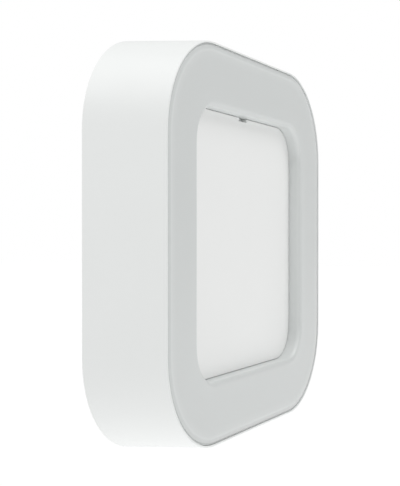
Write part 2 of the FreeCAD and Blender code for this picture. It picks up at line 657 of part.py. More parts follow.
fused("pairing_button", [
    rod("plunger", "10", "radio_z + 8", "1.75", "radio_top + 2.8", "radio_top + 6", keep=False),
    rod("cap", "10", "radio_z + 8", "3", "radio_top + 5.5", "radio_top + 8", keep=False),
])
cut("tone_switch",
    block("tone_case", "17", "radio_z - 7", "13", "6", "radio_top", "radio_top + 4", keep=False),
    [block("tone_slot", "17", "radio_z - 7", "8", "2.6", "radio_top + 1.5", "radio_top + 5", keep=False)])
block("tone_slider", "17", "radio_z - 7", "3.4", "2", "radio_top + 1.9", "radio_top + 7")

# ---- wires inside the light; the supply cable itself belongs to the building ----
leads("supply_leads", "1.1", [
    [(-26, 14, -9.8), (-26.3, 15, -13), (-26.6, 15, -17), (-27, 14, -20.2)],
    [(-14, 14, -9.8), (-14.3, 15, -13), (-14.6, 15, -17), (-15, 14, -20.2)],
])
leads("lamp_leads", "0.9", [
    [(42.6, 13, -33), (50, 11, -30), (56, 8, -20), (60, 7, -11.5), (68, 7, -11.5), (72, 7.4, -11.5)],
    [(42.6, 13, -29.5), (48.5, 11, -27), (54, 8, -17), (60, 7, -8.5), (68, 7, -8.5), (72, 7.4, -8.5)],
])
leads("radio_leads", "0.8", [
    [(-35, 13, -20.3), (-35.6, 12, -12), (-36, 12, 4), (-32, 14.5, 14.5), (-16, 17, 16.5), (-5, 16, 20.8)],
    [(-32, 15.5, -20.3), (-34, 15.5, -12), (-34.6, 15.5, 3), (-31, 17.2, 12), (-14, 19, 13.5), (-1.5, 16, 20.8)],
])

doc.recompute()
os.makedirs("parts", exist_ok=True)
problems = []
for obj in doc.Objects:
    if "Invalid" in obj.State or "Error" in obj.State:
        problems.append(obj.Label)
for node in NODES:
    if node.Shape.isNull() or not node.Shape.isValid():
        problems.append(node.Label + " shape")
if problems:
    raise RuntimeError("features that did not build: " + ", ".join(problems))
for node in NODES:
    node.Shape.exportStep("parts/%s.step" % node.Label)
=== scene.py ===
import bpy
import math
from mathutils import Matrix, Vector


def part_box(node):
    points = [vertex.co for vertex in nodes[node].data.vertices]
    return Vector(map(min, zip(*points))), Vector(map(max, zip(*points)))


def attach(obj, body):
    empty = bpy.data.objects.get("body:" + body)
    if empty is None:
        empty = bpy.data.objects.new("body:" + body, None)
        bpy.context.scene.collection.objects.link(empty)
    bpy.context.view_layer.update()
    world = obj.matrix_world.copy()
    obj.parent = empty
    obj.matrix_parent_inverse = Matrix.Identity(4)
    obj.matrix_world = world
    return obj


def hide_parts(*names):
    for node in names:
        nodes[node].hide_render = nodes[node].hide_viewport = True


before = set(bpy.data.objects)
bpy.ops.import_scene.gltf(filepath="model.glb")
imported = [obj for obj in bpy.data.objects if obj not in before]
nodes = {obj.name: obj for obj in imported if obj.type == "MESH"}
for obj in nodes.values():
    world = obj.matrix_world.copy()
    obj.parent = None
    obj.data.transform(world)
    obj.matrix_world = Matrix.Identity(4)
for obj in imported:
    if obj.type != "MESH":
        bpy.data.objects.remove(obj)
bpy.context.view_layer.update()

# ---------------------------------------------------------------- studio
# A product set in a white room: an even white surround, a wide soft box overhead on the left, another
# high in front, and a pale floor far enough below the wall light to stay plain white.
camera_data = bpy.data.cameras.new("studio_camera")
camera_data.sensor_width = 36.0
camera_data.lens = 71.26
camera = bpy.data.objects.new("studio_camera", camera_data)
camera.location = (-0.4789, -0.2515, 0.0036)
camera.rotation_euler = Vector((0.8926, 0.4508, -0.0062)).to_track_quat("-Z", "Y").to_euler()
bpy.context.scene.collection.objects.link(camera)
bpy.context.scene.camera = camera
bpy.context.scene.view_settings.view_transform = "Standard"
bpy.context.scene.view_settings.look = "None"


def linear(text):
    """An sRGB hex colour as linear RGBA."""
    channels = [int(text[i:i + 2], 16) / 255 for i in (1, 3, 5)]
    return [c / 12.92 if c <= 0.04045 else ((c + 0.055) / 1.055) ** 2.4 for c in channels] + [1.0]


def add(tree, kind, sockets=None, **settings):
    """One node: settings are its own properties, sockets hold values, links, or lists of links."""
    node = tree.nodes.new(kind)
    for name, value in settings.items():
        setattr(node, name, value)
    for name, value in (sockets or {}).items():
        sources = value if isinstance(value, list) and isinstance(value[0], tuple) else [value]
        for source in sources:
            if isinstance(source, tuple) and isinstance(source[0], bpy.types.Node):
                tree.links.new(source[0].outputs[source[1]], node.inputs[name])
            else:
                node.inputs[name].default_value = source
    return node


def finish_named(name):
    """An empty material and its tree."""
    made = bpy.data.materials.new(name)
    made.use_nodes = True
    made.node_tree.nodes.clear()
    return made, made.node_tree


surround = bpy.data.worlds.new("white_surround")
surround.use_nodes = True
surround.node_tree.nodes.clear()
ray = add(surround.node_tree, "ShaderNodeLightPath")
room = add(surround.node_tree, "ShaderNodeBackground", {"Color": linear("#FFFFFF"), "Strength": 0.525})
backdrop = add(surround.node_tree, "ShaderNodeBackground", {"Color": linear("#FFFFFF"), "Strength": 1.0})
either = add(surround.node_tree, "ShaderNodeMixShader",
             {0: (ray, "Is Camera Ray"), 1: (room, 0), 2: (backdrop, 0)})
add(surround.node_tree, "ShaderNodeOutputWorld", {"Surface": (either, 0)})
bpy.context.scene.world = surround

for name, place, aim, size, power in (
        ("overhead_box", (-0.42, 0.13, 0.82), (-0.05, 0, 0), 0.8, 3.6),
        ("front_box", (0.30, -0.72, 1.00), (0, 0, 0), 0.7, 4.75)):
    lamp = bpy.data.lights.new(name, "AREA")
    lamp.shape = "SQUARE"
    lamp.size = size
    lamp.energy = power
    box = bpy.data.objects.new(name, lamp)
    box.location = place
    box.rotation_euler = (Vector(aim) - Vector(place)).to_track_quat("-Z", "Y").to_euler()
    bpy.context.scene.collection.objects.link(box)

floor_paint, tree = finish_named("matt_white_floor_paint")
place = add(tree, "ShaderNodeTexCoord")
roller = add(tree, "ShaderNodeTexNoise", {"Vector": (place, "Object"), "Scale": 3.0, "Detail": 4.0})
tint = add(tree, "ShaderNodeMix",
           {0: (roller, 0), 6: linear("#FCFCFC"), 7: linear("#FFFFFF")}, data_type="RGBA")
matt = add(tree, "ShaderNodeBsdfPrincipled", {"Base Color": (tint, 2), "Roughness": 0.9,
                                              "Emission Color": linear("#FFFFFF"), "Emission Strength": 0.50})
add(tree, "ShaderNodeOutputMaterial", {"Surface": (matt, 0)})
floor_mesh = bpy.data.meshes.new("floor")
floor_reach, floor_drop = 40, -1.3
floor_corners = [(x * floor_reach, y * floor_reach, floor_drop)
                 for x, y in ((-1, -1), (1, -1), (1, 1), (-1, 1))]
floor_mesh.from_pydata(floor_corners, [], [(0, 1, 2, 3)])
floor_mesh.materials.append(floor_paint)
floor = bpy.data.objects.new("floor", floor_mesh)
bpy.context.scene.collection.objects.link(floor)

# ---------------------------------------------------------------- housing
# One injection-moulded tub in a white ABS and polycarbonate blend. The mould was spark-eroded, which
# leaves an even satin grain; thick corners cool more slowly and show a very faint cloudiness.


def moulded(name, light, dark, grain_mm, depth_mm, rough, cloud_mm=45.0, **extra):
    """A moulded plastic: two close colours in slow clouds, and the grain of its mould as relief."""
    made, tree = finish_named(name)
    place = add(tree, "ShaderNodeTexCoord")
    cloud = add(tree, "ShaderNodeTexNoise",
                {"Vector": (place, "Object"), "Scale": 1000 / cloud_mm, "Detail": 3.0, "Roughness": 0.45})
    colour = add(tree, "ShaderNodeMix", {0: (cloud, 0), 6: linear(light), 7: linear(dark)}, data_type="RGBA")
    spark = add(tree, "ShaderNodeTexNoise",
                {"Vector": (place, "Object"), "Scale": 1000 / grain_mm, "Detail": 2.0, "Roughness": 0.6})
    sheen = add(tree, "ShaderNodeMapRange", {"Value": (cloud, 0), "From Min": 0.3, "From Max": 0.7,
                                             "To Min": rough - 0.03, "To Max": rough + 0.03})
    relief = add(tree, "ShaderNodeBump",
                 {"Height": (spark, 0), "Strength": 0.35, "Distance": depth_mm / 1000})
    sockets = {"Base Color": (colour, 2), "Roughness": (sheen, 0), "Normal": (relief, 0), "IOR": 1.53}
    sockets.update(extra)
    surface = add(tree, "ShaderNodeBsdfPrincipled", sockets)
    add(tree, "ShaderNodeOutputMaterial", {"Surface": (surface, 0)})
    return made


def dress(finish, *parts):
    """Gives CAD nodes their finish."""
    for part in parts:
        nodes[part].data.materials.clear()
        nodes[part].data.materials.append(finish)


# Gives a soft, even white with wide dull highlights. The real spark grain is near 0.1 mm, too fine to
# show, so it is drawn at 0.9 mm and very shallow.
dress(moulded("satin_abs_white", "#EDEFEE", "#EAECEB", 0.9, 0.012, 0.42), "housing")

# ---------------------------------------------------------------- wall gasket and grommet
# The gasket is cut from closed-cell EPDM sponge and lies in the recess of the back. The grommet is
# moulded EPDM, pushed into the cable entry, and its cone grips the cable.


def sponge(name, light, dark, cell_mm, pit_mm):
    """Cut foam or rubber: open pores as small pits, darkened by painted shade."""
    made, tree = finish_named(name)
    place = add(tree, "ShaderNodeTexCoord")
    cells = add(tree, "ShaderNodeTexVoronoi", {"Vector": (place, "Object"), "Scale": 1000 / cell_mm})
    pit_painted_shade = add(tree, "ShaderNodeMapRange", {"Value": (cells, "Distance"), "From Min": 0.1, "From Max": 0.5})
    # Painted shade: the pit centres take the darker colour.
    colour = add(tree, "ShaderNodeMix", {0: (pit_painted_shade, 0), 6: linear(dark), 7: linear(light)}, data_type="RGBA")
    relief = add(tree, "ShaderNodeBump", {"Height": (pit_painted_shade, 0), "Strength": 0.6, "Distance": pit_mm / 1000})
    surface = add(tree, "ShaderNodeBsdfPrincipled",
                  {"Base Color": (colour, 2), "Roughness": 0.85, "Normal": (relief, 0), "IOR": 1.5})
    add(tree, "ShaderNodeOutputMaterial", {"Surface": (surface, 0)})
    return made


# Cells cut open, near 0.7 mm across, give a dull black that takes no highlight; the darker speckles are
# painted shade in the cells.
dress(sponge("epdm_sponge_black", "#2E2E30", "#19191A", 0.7, 0.10), "wall_gasket")
# Solid rubber is smoother than the sponge: a dark satin with a faint bloom.
dress(moulded("epdm_rubber_black", "#2B2B2C", "#242425", 0.6, 0.02, 0.62), "cable_grommet")

# ---------------------------------------------------------------- lamp plate and lamp board
# A rolled aluminium plate carries the heat of the lamp board into the air of the housing. The board
# is an aluminium-cored laminate under white solder mask, with tinned tracks round the ring.


def rolled(name, light, dark, streak_mm, rough):
    """Rolled or drawn metal: long streaks along X from the mill's rollers."""
    made, tree = finish_named(name)
    place = add(tree, "ShaderNodeTexCoord")
    along = add(tree, "ShaderNodeMapping", {"Vector": (place, "Object"), "Scale": (0.04, 1.0, 1.0)})
    streaks = add(tree, "ShaderNodeTexNoise",
                  {"Vector": (along, 0), "Scale": 1000 / streak_mm, "Detail": 5.0, "Roughness": 0.65})
    colour = add(tree, "ShaderNodeMix",
                 {0: (streaks, 0), 6: linear(dark), 7: linear(light)}, data_type="RGBA")
    dull = add(tree, "ShaderNodeMapRange",
               {"Value": (streaks, 0), "To Min": rough - 0.08, "To Max": rough + 0.08})
    relief = add(tree, "ShaderNodeBump", {"Height": (streaks, 0), "Strength": 0.25, "Distance": 0.00002})
    surface = add(tree, "ShaderNodeBsdfPrincipled", {"Base Color": (colour, 2), "Roughness": (dull, 0),
                                                     "Metallic": 1.0, "Normal": (relief, 0)})
    add(tree, "ShaderNodeOutputMaterial", {"Surface": (surface, 0)})
    return made


def printed_board(name, mask, track, pitch_mm, rough):
    """Solder mask over copper: tracks stand a little proud and show lighter through the mask."""
    made, tree = finish_named(name)
    place = add(tree, "ShaderNodeTexCoord")
    flat = add(tree, "ShaderNodeMapping", {"Vector": (place, "Object"), "Rotation": (math.pi / 2, 0, 0)})
    runs = add(tree, "ShaderNodeTexBrick",
               {"Vector": (flat, 0), "Scale": 1000 / pitch_mm, "Mortar Size": 0.10, "Mortar Smooth": 0.1,
                "Brick Width": 2.6, "Row Height": 0.5, "Color1": linear("#000000"),
                "Color2": linear("#000000"), "Mortar": linear("#FFFFFF")})
    patches = add(tree, "ShaderNodeTexNoise", {"Vector": (flat, 0), "Scale": 60.0, "Detail": 1.0})
    some = add(tree, "ShaderNodeMapRange", {"Value": (patches, 0), "From Min": 0.47, "From Max": 0.50})
    tracks = add(tree, "ShaderNodeMath", {0: (runs, "Color"), 1: (some, 0)}, operation="MULTIPLY")
    colour = add(tree, "ShaderNodeMix", {0: (tracks, 0), 6: linear(mask), 7: linear(track)}, data_type="RGBA")
    relief = add(tree, "ShaderNodeBump", {"Height": (tracks, 0), "Strength": 0.8, "Distance": 0.000035})
    surface = add(tree, "ShaderNodeBsdfPrincipled", {"Base Color": (colour, 2), "Roughness": rough,
                                                     "Normal": (relief, 0), "IOR": 1.52})
    add(tree, "ShaderNodeOutputMaterial", {"Surface": (surface, 0)})
    return made


# The mill's rollers leave fine streaks that draw the highlight out across them.
dress(rolled("rolled_aluminium", "#C9CBCC", "#AEB1B3", 0.6, 0.38), "lamp_plate")
# A thick glossy white, with the copper tracks as low ridges. Track rows are drawn coarser than real.
dress(printed_board("white_solder_mask", "#E9EAE6", "#D9DAD2", 5.0, 0.30), "lamp_board")

# ---------------------------------------------------------------- light emitters
# Surface-mounted emitters follow the ring in one line, evenly spaced: a white reflector cup of
# moulded polyamide, filled with clear silicone over yellow phosphor. Each is soldered on its own pad.


def nodes_group(name, *inputs):
    """An empty geometry tree with named sizes in metres, and its input node."""
    tree = bpy.data.node_groups.new(name, "GeometryNodeTree")
    tree.interface.new_socket("Geometry", in_out="INPUT", socket_type="NodeSocketGeometry")
    for title, kind in inputs:
        tree.interface.new_socket(title, in_out="INPUT", socket_type="NodeSocket" + kind)
    tree.interface.new_socket("Geometry", in_out="OUTPUT", socket_type="NodeSocketGeometry")
    return tree, add(tree, "NodeGroupInput")


def grown(name, places, tree, body, **sizes):
    """Runs a tree on a set of places, keeps the result as a plain mesh, and lets it ride on a body."""
    seeds = bpy.data.meshes.new(name + "_places")
    seeds.from_pydata(places, [], [])
    source = bpy.data.objects.new(name + "_places", seeds)
    bpy.context.scene.collection.objects.link(source)
    modifier = source.modifiers.new("grow", "NODES")
    modifier.node_group = tree
    for item in tree.interface.items_tree:
        if item.in_out == "INPUT" and item.name in sizes:
            modifier[item.identifier] = sizes[item.name]
    bpy.context.view_layer.update()
    graph = bpy.context.evaluated_depsgraph_get()
    mesh = bpy.data.meshes.new_from_object(source.evaluated_get(graph), depsgraph=graph)
    mesh.name = name
    source.modifiers.remove(modifier)
    bpy.data.objects.remove(source)
    piece = bpy.data.objects.new(name, mesh)
    bpy.context.scene.collection.objects.link(piece)
    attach(piece, body)
    return piece


# White cups, clear silicone that lets the yellow phosphor show, and bright tin at the joints.
cup_white = moulded("polyamide_cup_white", "#F2F1EC", "#ECEBE4", 0.5, 0.004, 0.35)
phosphor = moulded("silicone_over_phosphor", "#EBCF6A", "#E2C05A", 0.3, 0.004, 0.12,
                   **{"Subsurface Weight": 0.3, "Subsurface Scale": 0.0005, "IOR": 1.41})
solder = rolled("tin_solder", "#D5D6D6", "#B9BABB", 0.8, 0.28)

emitter_tree, given = nodes_group("emitter_line", ("Cup Width", "Float"), ("Cup Height", "Float"),
                                  ("Lens Radius", "Float"))
cup_size = add(emitter_tree, "ShaderNodeCombineXYZ",
               {0: (given, "Cup Width"), 1: (given, "Cup Height"), 2: (given, "Cup Width")})
cup = add(emitter_tree, "GeometryNodeMeshCube", {"Size": (cup_size, 0)})
lens_cap = add(emitter_tree, "GeometryNodeMeshUVSphere",
               {"Segments": 20, "Rings": 10, "Radius": (given, "Lens Radius")})
lens_low = add(emitter_tree, "ShaderNodeMath", {0: (given, "Cup Height"), 1: -0.42}, operation="MULTIPLY")
lens_at = add(emitter_tree, "ShaderNodeCombineXYZ", {1: (lens_low, 0)})
lens_flat = add(emitter_tree, "GeometryNodeTransform",
                {"Geometry": (lens_cap, 0), "Translation": (lens_at, 0), "Scale": (1.0, 0.13, 1.0)})
lens_soft = add(emitter_tree, "GeometryNodeSetShadeSmooth", {"Geometry": (lens_flat, 0)})
branches = []
for part, finish in ((cup, cup_white), (lens_soft, phosphor)):
    spread = add(emitter_tree, "GeometryNodeInstanceOnPoints",
                 {"Points": (given, "Geometry"), "Instance": (part, 0)})
    real = add(emitter_tree, "GeometryNodeRealizeInstances", {"Geometry": (spread, 0)})
    painted = add(emitter_tree, "GeometryNodeSetMaterial", {"Geometry": (real, 0), "Material": finish})
    branches.append((painted, 0))
whole = add(emitter_tree, "GeometryNodeJoinGeometry", {"Geometry": branches})
add(emitter_tree, "NodeGroupOutput", {"Geometry": (whole, 0)})

low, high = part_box("lamp_emitters")
line_half, line_radius = high.x - 0.0015, 0.035
flat = line_half - line_radius
quarter = 2 * flat + math.pi / 2 * line_radius
emitter_places = []
for i in range(48):
    side, run = divmod((i + 0.5) * 4 * quarter / 48, quarter)
    if run < flat:
        x, z = line_half, run
    elif run < flat + math.pi / 2 * line_radius:
        angle = (run - flat) / line_radius
        x, z = flat + line_radius * math.cos(angle), flat + line_radius * math.sin(angle)
    else:
        x, z = quarter - run, line_half
    c, s = math.cos(side * math.pi / 2), math.sin(side * math.pi / 2)
    emitter_places.append((x * c - z * s, (low.y + high.y) / 2 + 0.00005, x * s + z * c))
emitters = grown("light_emitters", emitter_places, emitter_tree, "light",
                 **{"Cup Width": 0.003, "Cup Height": 0.0006, "Lens Radius": 0.0012})
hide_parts("lamp_emitters")

# ---------------------------------------------------------------- screws
# Thread-forming pan-head screws in zinc-plated steel, cold-headed with a cross recess. They hold the
# lamp board, the diffuser's flange, the driver case and the radio board. Bright zinc gives the eye a
# cool, slightly streaked grey. The shanks are plain, because they are hidden in their bosses.
zinc = rolled("bright_zinc_plate", "#C4C7C9", "#9FA3A6", 0.5, 0.30)
screw_tree, given = nodes_group("screw_set", ("Head Radius", "Float"), ("Head Height", "Float"),
                                ("Shank Radius", "Float"), ("Shank Length", "Float"))
crown_radius = add(screw_tree, "ShaderNodeMath", {0: (given, "Head Radius"), 1: 0.78}, operation="MULTIPLY")
head = add(screw_tree, "GeometryNodeMeshCone",
           {"Vertices": 40, "Radius Top": (crown_radius, 0), "Radius Bottom": (given, "Head Radius"),
            "Depth": (given, "Head Height")})
recess_long = add(screw_tree, "ShaderNodeMath", {0: (given, "Head Radius"), 1: 1.15}, operation="MULTIPLY")
recess_thin = add(screw_tree, "ShaderNodeMath", {0: (given, "Head Radius"), 1: 0.27}, operation="MULTIPLY")
recess_x = add(screw_tree, "ShaderNodeCombineXYZ",
               {0: (recess_long, 0), 1: (recess_thin, 0), 2: (given, "Head Height")})
recess_y = add(screw_tree, "ShaderNodeCombineXYZ",
               {0: (recess_thin, 0), 1: (recess_long, 0), 2: (given, "Head Height")})
recess_at = add(screw_tree, "ShaderNodeCombineXYZ", {2: (given, "Head Height")})
slots = []
for size in (recess_x, recess_y):
    bar = add(screw_tree, "GeometryNodeMeshCube", {"Size": (size, 0)})
    raised = add(screw_tree, "GeometryNodeTransform", {"Geometry": (bar, 0), "Translation": (recess_at, 0)})
    slots.append((raised, 0))
driven = add(screw_tree, "GeometryNodeMeshBoolean",
             {"Mesh 1": (head, 0), "Mesh 2": slots, "Self Intersection": True},
             operation="DIFFERENCE", solver="EXACT")
shank = add(screw_tree, "GeometryNodeMeshCylinder", {"Vertices": 24, "Radius": (given, "Shank Radius"),
                                                     "Depth": (given, "Shank Length")})
shank_down = add(screw_tree, "ShaderNodeMath", {0: (given, "Shank Length"), 1: -0.5}, operation="MULTIPLY")
shank_at = add(screw_tree, "ShaderNodeCombineXYZ", {2: (shank_down, 0)})
shank_in = add(screw_tree, "GeometryNodeTransform", {"Geometry": (shank, 0), "Translation": (shank_at, 0)})
screw = add(screw_tree, "GeometryNodeJoinGeometry", {"Geometry": [(driven, 0), (shank_in, 0)]})
outward = add(screw_tree, "GeometryNodeTransform", {"Geometry": (screw, 0), "Rotation": (math.pi / 2, 0, 0)})
turned = add(screw_tree, "FunctionNodeRandomValue", {"Max": 1.5, "Seed": 7}, data_type="FLOAT")
spin = add(screw_tree, "ShaderNodeCombineXYZ", {1: (turned, 1)})
spread = add(screw_tree, "GeometryNodeInstanceOnPoints",
             {"Points": (given, "Geometry"), "Instance": (outward, 0), "Rotation": (spin, 0)})
real = add(screw_tree, "GeometryNodeRealizeInstances", {"Geometry": (spread, 0)})
plated = add(screw_tree, "GeometryNodeSetMaterial", {"Geometry": (real, 0), "Material": zinc})
add(screw_tree, "NodeGroupOutput", {"Geometry": (plated, 0)})



def eight_round(line, aside=30.0):
    """Two screws on each side of a square of that half width, in millimetres."""
    return [seat for side in (1, -1) for along in (1, -1)
            for seat in ((side * line, along * aside), (along * aside, side * line))]


# name, node replaced, seats, level under the head, head radius and height, shank radius and length
screw_sets = (
    ("lamp_board_screws", "lamp_screws", eight_round(76.0), 11.6, 2.8, 1.8, 1.45, 7.6),
    ("flange_screws", "diffuser_screws", eight_round(61.5), 31.8, 2.9, 1.1, 1.45, 7.8),
    ("case_screws", "driver_screws", [(46.5, -38.0), (-46.5, -38.0)], 8.0, 2.8, 1.8, 1.4, 5.6),
    ("radio_board_screws", "radio_screws", [(x, z) for x in (-31, 31) for z in (24, 52)],
     13.6, 2.6, 1.6, 1.4, 6.6))
for name, node, seats, level, head_radius, head_height, shank_radius, shank_length in screw_sets:
    places = [(x / 1000, -level / 1000, z / 1000) for x, z in seats]
    made = grown(name, places, screw_tree, "light", **{
        "Head Radius": head_radius / 1000, "Head Height": head_height / 1000,
        "Shank Radius": shank_radius / 1000, "Shank Length": shank_length / 1000})
    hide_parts(node)

# ---------------------------------------------------------------- reflector tray
# Vacuum-formed microfoamed PET, bright matt white, with a hole over every emitter and screw. It lines
# the channel between the side wall and the wall of the wiring well.
# Tiny bubbles scatter nearly all the light, so it is the flattest and brightest white in the lamp.
dress(moulded("microfoamed_pet_white", "#F7F7F5", "#F3F3F0", 0.35, 0.006, 0.55, cloud_mm=20.0),
      "reflector_tray")

# ---------------------------------------------------------------- diffuser and its gaskets
# One moulding in opal polycarbonate: front ring, inner collar and screw flange. Its tone follows the
# distance from the outer edge and is matched, and holds painted light: painted shade in a faint line
# near 1.4 mm in, a painted highlight on the bead near 2.4 mm in, and painted light on the recess wall.
opal, tree = finish_named("opal_polycarbonate")
place = add(tree, "ShaderNodeTexCoord")
axes = add(tree, "ShaderNodeSeparateXYZ", {0: (place, "Object")})
low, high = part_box("diffuser")
edge_half, edge_radius = high.x - 0.0008, 0.0478
reach = []
for axis in ("X", "Z"):
    size = add(tree, "ShaderNodeMath", {0: (axes, axis)}, operation="ABSOLUTE")
    past_centre = add(tree, "ShaderNodeMath", {0: (size, 0), 1: edge_half - edge_radius}, operation="SUBTRACT")
    reach.append(past_centre)
clipped = [add(tree, "ShaderNodeMath", {0: (part, 0), 1: 0.0}, operation="MAXIMUM") for part in reach]
corner = add(tree, "ShaderNodeCombineXYZ", {0: (clipped[0], 0), 1: (clipped[1], 0)})
corner_reach = add(tree, "ShaderNodeVectorMath", {0: (corner, 0)}, operation="LENGTH")
longer = add(tree, "ShaderNodeMath", {0: (reach[0], 0), 1: (reach[1], 0)}, operation="MAXIMUM")
inside = add(tree, "ShaderNodeMath", {0: (longer, 0), 1: 0.0}, operation="MINIMUM")
beyond = add(tree, "ShaderNodeMath", {0: (corner_reach, "Value"), 1: (inside, 0)}, operation="ADD")
from_edge = add(tree, "ShaderNodeMath", {0: edge_radius, 1: (beyond, 0)}, operation="SUBTRACT")
share = add(tree, "ShaderNodeMath", {0: (from_edge, 0), 1: 0.030}, operation="DIVIDE")
# Painted light by distance from the edge: painted shade near 1.4 mm, a painted highlight at 2.4 mm, a lit
# recess wall.
edge_painted_light = add(tree, "ShaderNodeValToRGB", {0: (share, 0)})
edge_painted_light.color_ramp.elements.remove(edge_painted_light.color_ramp.elements[1])
for index, (mm, tone) in enumerate(((0.0, "#D0D3D2"), (1.4, "#CFD2D1"), (2.4, "#D8DBDA"), (3.6, "#D3D6D5"),
                                    (7.0, "#D0D3D2"), (19.0, "#D0D3D2"), (25.5, "#D1D4D3"), (27.5, "#D1D4D3"),
                                    (29.3, "#D3D6D5"), (29.6, "#DBDEDD"))):
    stop = edge_painted_light.color_ramp.elements[0] if index == 0 else edge_painted_light.color_ramp.elements.new(mm / 30)
    stop.position = mm / 30
    stop.color = linear(tone)
haze = add(tree, "ShaderNodeTexNoise", {"Vector": (place, "Object"), "Scale": 18.0, "Detail": 3.0})
hazed = add(tree, "ShaderNodeMapRange", {"Value": (haze, 0), "To Min": 0.985, "To Max": 1.015})
colour = add(tree, "ShaderNodeVectorMath", {0: (edge_painted_light, 0), "Scale": (hazed, 0)}, operation="SCALE")
frost = add(tree, "ShaderNodeTexNoise", {"Vector": (place, "Object"), "Scale": 900.0, "Detail": 2.0})
relief = add(tree, "ShaderNodeBump", {"Height": (frost, 0), "Strength": 0.3, "Distance": 0.000008})
surface = add(tree, "ShaderNodeBsdfPrincipled",
              {"Base Color": (colour, 0), "Roughness": 0.36, "IOR": 1.58, "Normal": (relief, 0),
               "Subsurface Weight": 0.25, "Subsurface Scale": 0.004, "Subsurface Radius": (1.0, 1.0, 1.0)})
add(tree, "ShaderNodeOutputMaterial", {"Surface": (surface, 0)})
dress(opal, "diffuser")
# Closed-cell foam shows small pits near 0.6 mm where it was cut, darkened by painted shade.
dress(sponge("polyethylene_foam_grey", "#A7A9A9", "#7E8080", 0.6, 0.06), "outer_gasket", "inner_gasket")

# ---------------------------------------------------------------- driver
# A flame-retardant polycarbonate case, closed by a slotted lid, holds the driver board: green mask,
# a taped ferrite transformer, sleeved capacitors, a dipped film capacitor and a ceramic varistor.
# The flame retardant gives a warm ivory, and the case is left with a coarse mould grain.
dress(moulded("flame_retardant_pc_ivory", "#DEDCD3", "#D8D6CC", 0.8, 0.015, 0.5), "driver_tray", "driver_lid")
dress(printed_board("green_solder_mask", "#11512B", "#1E7340", 2.54, 0.28), "driver_board")


def banded(name, base, band, low_mm, high_mm, rough):
    """A part wound with tape or printed with a stripe, between two distances from the wall."""
    made, tree = finish_named(name)
    place = add(tree, "ShaderNodeTexCoord")
    axes = add(tree, "ShaderNodeSeparateXYZ", {0: (place, "Object")})
    above = add(tree, "ShaderNodeMath", {0: (axes, "Y"), 1: -low_mm / 1000}, operation="LESS_THAN")
    below = add(tree, "ShaderNodeMath", {0: (axes, "Y"), 1: -high_mm / 1000}, operation="GREATER_THAN")
    tape = add(tree, "ShaderNodeMath", {0: (above, 0), 1: (below, 0)}, operation="MULTIPLY")
    scuffs = add(tree, "ShaderNodeTexNoise", {"Vector": (place, "Object"), "Scale": 700.0, "Detail": 4.0})
    colour = add(tree, "ShaderNodeMix", {0: (tape, 0), 6: linear(base), 7: linear(band)}, data_type="RGBA")
    worn = add(tree, "ShaderNodeMapRange", {"Value": (scuffs, 0), "To Min": 0.9, "To Max": 1.1})
    tone = add(tree, "ShaderNodeVectorMath", {0: (colour, 2), "Scale": (worn, 0)}, operation="SCALE")
    dull = add(tree, "ShaderNodeMapRange",
               {"Value": (scuffs, 0), "To Min": rough - 0.1, "To Max": rough + 0.1})
    relief = add(tree, "ShaderNodeBump", {"Height": (scuffs, 0), "Strength": 0.3, "Distance": 0.00003})
    surface = add(tree, "ShaderNodeBsdfPrincipled",
                  {"Base Color": (tone, 0), "Roughness": (dull, 0), "Normal": (relief, 0)})
    add(tree, "ShaderNodeOutputMaterial", {"Surface": (surface, 0)})
    return made


# Matt grey-black ferrite under glossy tape, enamelled copper, printed sleeves and dipped epoxies:
# each has one band of its second colour, and scuffs near 1.5 mm from handling.
dress(banded("ferrite_with_polyester_tape", "#2A292B", "#C9A227", 12.0, 17.5, 0.5), "driver_transformer")
dress(banded("ferrite_drum_with_enamelled_wire", "#232325", "#8A4A1E", 11.5, 16.5, 0.45), "driver_inductor")
dress(banded("sleeved_aluminium_can", "#1B2540", "#C3C5C6", 18.7, 20.0, 0.35), "driver_capacitors")
dress(banded("dipped_film_capacitor", "#CFA52B", "#C79B22", 11.0, 13.0, 0.4), "driver_film_capacitor")
dress(banded("time_lag_fuse_brown", "#3A2B25", "#2E221D", 10.0, 12.0, 0.45), "driver_fuse")
dress(banded("varistor_blue_epoxy", "#23508F", "#1D457D", 10.0, 11.5, 0.35), "driver_varistor")
dress(banded("rectifier_black_epoxy", "#1A1A1C", "#232326", 12.4, 13.0, 0.5), "driver_rectifier")

# ---------------------------------------------------------------- terminal block
# Grey polyamide block with a spring clamp in each pole. Orange buttons push the springs open; the
# clamp bodies are tinned brass and show in the wells beside them.
# Polyamide has a soft waxy sheen; the brass is warm under thin, uneven tin.
dress(moulded("polyamide_grey", "#A9ABAB", "#A1A3A3", 0.6, 0.02, 0.45), "terminal_block")
dress(moulded("polyamide_orange", "#DD6F1C", "#D56716", 0.5, 0.012, 0.38),
      "release_button_line", "release_button_neutral", "release_button_loop")
dress(rolled("tinned_brass", "#CDB67A", "#B39A5C", 0.4, 0.32), "terminal_clamps")

# ---------------------------------------------------------------- radio board
# The light's control board: green mask, a tinned shield with pressed dimples over the radio, a bent
# spring-steel antenna, small passives, the pairing button, a status light and the light-tone slide.
# Green mask with lighter tracks, bright tinplate, waxy white nylon, matt black epoxy, and acetal that
# is smoother than the parts beside it.
dress(printed_board("radio_green_solder_mask", "#0F4A2A", "#1B6B3C", 2.0, 0.25), "radio_board")
dress(rolled("tinplate_shield", "#CFD0CF", "#B4B6B6", 0.7, 0.26), "radio_shield", "radio_antenna")
dress(moulded("nylon_connector_white", "#E6E4DC", "#DFDDD4", 0.5, 0.01, 0.45), "radio_connector")
dress(moulded("moulded_epoxy_black", "#202022", "#19191B", 0.4, 0.01, 0.5), "pairing_switch", "tone_switch")
dress(moulded("acetal_black", "#2C2C2F", "#262629", 0.5, 0.006, 0.32), "pairing_button")
dress(moulded("acetal_white", "#ECEBE6", "#E5E4DE", 0.5, 0.006, 0.32), "tone_slider")
dress(moulded("green_lens_epoxy", "#8FD3A0", "#86CB98", 0.5, 0.002, 0.1,
              **{"Transmission Weight": 0.5, "IOR": 1.5}), "status_light")

